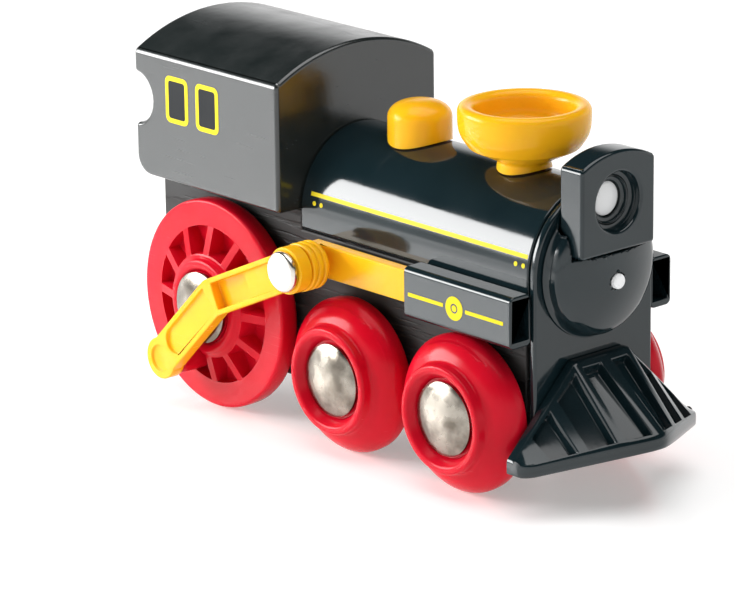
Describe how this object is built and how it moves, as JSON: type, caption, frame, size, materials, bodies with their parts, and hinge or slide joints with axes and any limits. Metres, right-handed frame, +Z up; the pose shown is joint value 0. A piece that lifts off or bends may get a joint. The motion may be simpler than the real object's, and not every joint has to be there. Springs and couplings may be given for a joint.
{
  "type": "toy steam locomotive",
  "caption": "Push-along toy steam locomotive with spoked driving wheels, turning connecting rods, sliding crossheads, a bowl chimney, a cowcatcher and a magnetic coupler.",
  "frame": {"origin": "on the ground, under the middle of the locomotive's box", "axes": "+X forward along the track, +Y to the locomotive's left, +Z up"},
  "size_m": [0.0888, 0.0398, 0.049],
  "materials": {
    "slate_plastic": "glossy dark slate",
    "yellow_plastic": "glossy yellow",
    "red_plastic": "glossy red",
    "black_wood": "matt black stain",
    "steel": "bright",
    "lens_white": "glossy white",
    "magnet_grey": "dull grey"
  },
  "bodies": {
    "engine": {"chassis_block": "black_wood", "cab_shell": "slate_plastic", "boiler_shell": "slate_plastic", "smokebox_plate": "slate_plastic", "smokebox_door": "slate_plastic", "door_knob": "steel", "lamp_housing": "slate_plastic", "lamp_lens": "lens_white", "chimney": "yellow_plastic", "steam_dome": "yellow_plastic", "cylinder_left": "slate_plastic", "cylinder_right": "slate_plastic", "cowcatcher": "slate_plastic", "coupler_collar": "slate_plastic", "coupler_pin": "steel", "boiler_front_screw": "steel", "boiler_rear_screw": "steel", "cab_front_screw": "steel", "cab_rear_screw": "steel"},
    "front_wheelset": {"front_axle": "steel", "front_wheel_left": "red_plastic", "front_cap_left": "steel", "front_wheel_right": "red_plastic", "front_cap_right": "steel"},
    "middle_wheelset": {"middle_axle": "steel", "middle_wheel_left": "red_plastic", "middle_cap_left": "steel", "middle_wheel_right": "red_plastic", "middle_cap_right": "steel"},
    "drive_wheelset": {"drive_axle": "steel", "drive_wheel_left": "red_plastic", "drive_cap_left": "steel", "drive_wheel_right": "red_plastic", "drive_cap_right": "steel", "crank_pin_left": "steel", "crank_pin_right": "steel"},
    "rod_left": {"connecting_rod_left": "yellow_plastic", "rod_pin_left": "steel"},
    "crosshead_left": {"crosshead_left": "yellow_plastic"},
    "rod_right": {"connecting_rod_right": "yellow_plastic", "rod_pin_right": "steel"},
    "crosshead_right": {"crosshead_right": "yellow_plastic"},
    "coupler_magnet": {"coupler_magnet": "magnet_grey"}
  },
  "joints": [
    {"name": "front_wheels_roll", "type": "hinge", "parent": "engine", "child": "front_wheelset", "pos_m": [0.02235, 0, 0.01], "axis": [0, 1, 0], "continuous": true},
    {"name": "middle_wheels_roll", "type": "hinge", "parent": "engine", "child": "middle_wheelset", "pos_m": [0.00175, 0, 0.01], "axis": [0, 1, 0], "continuous": true},
    {"name": "drive_wheels_roll", "type": "hinge", "parent": "engine", "child": "drive_wheelset", "pos_m": [-0.02375, 0, 0.0138], "axis": [0, 1, 0], "continuous": true},
    {"name": "left_rod_on_crank", "type": "hinge", "parent": "drive_wheelset", "child": "rod_left", "pos_m": [-0.0278, 0.01795, 0.00679], "axis": [0, 1, 0], "continuous": true},
    {"name": "right_rod_on_crank", "type": "hinge", "parent": "drive_wheelset", "child": "rod_right", "pos_m": [-0.0278, -0.01795, 0.00679], "axis": [0, 1, 0], "continuous": true},
    {"name": "left_crosshead_slide", "type": "slide", "parent": "engine", "child": "crosshead_left", "axis": [1, 0, 0], "range_m": [-0.00118, 0.0161]},
    {"name": "right_crosshead_slide", "type": "slide", "parent": "engine", "child": "crosshead_right", "axis": [1, 0, 0], "range_m": [-0.00118, 0.0161]},
    {"name": "coupler_magnet_turn", "type": "hinge", "parent": "engine", "child": "coupler_magnet", "pos_m": [-0.04235, 0, 0.012], "axis": [1, 0, 0], "continuous": true}
  ],
  "couplings": [
    {"joint": "left_rod_on_crank", "follows": "drive_wheels_roll", "ratio": -1},
    {"joint": "right_rod_on_crank", "follows": "drive_wheels_roll", "ratio": -1}
  ]
}
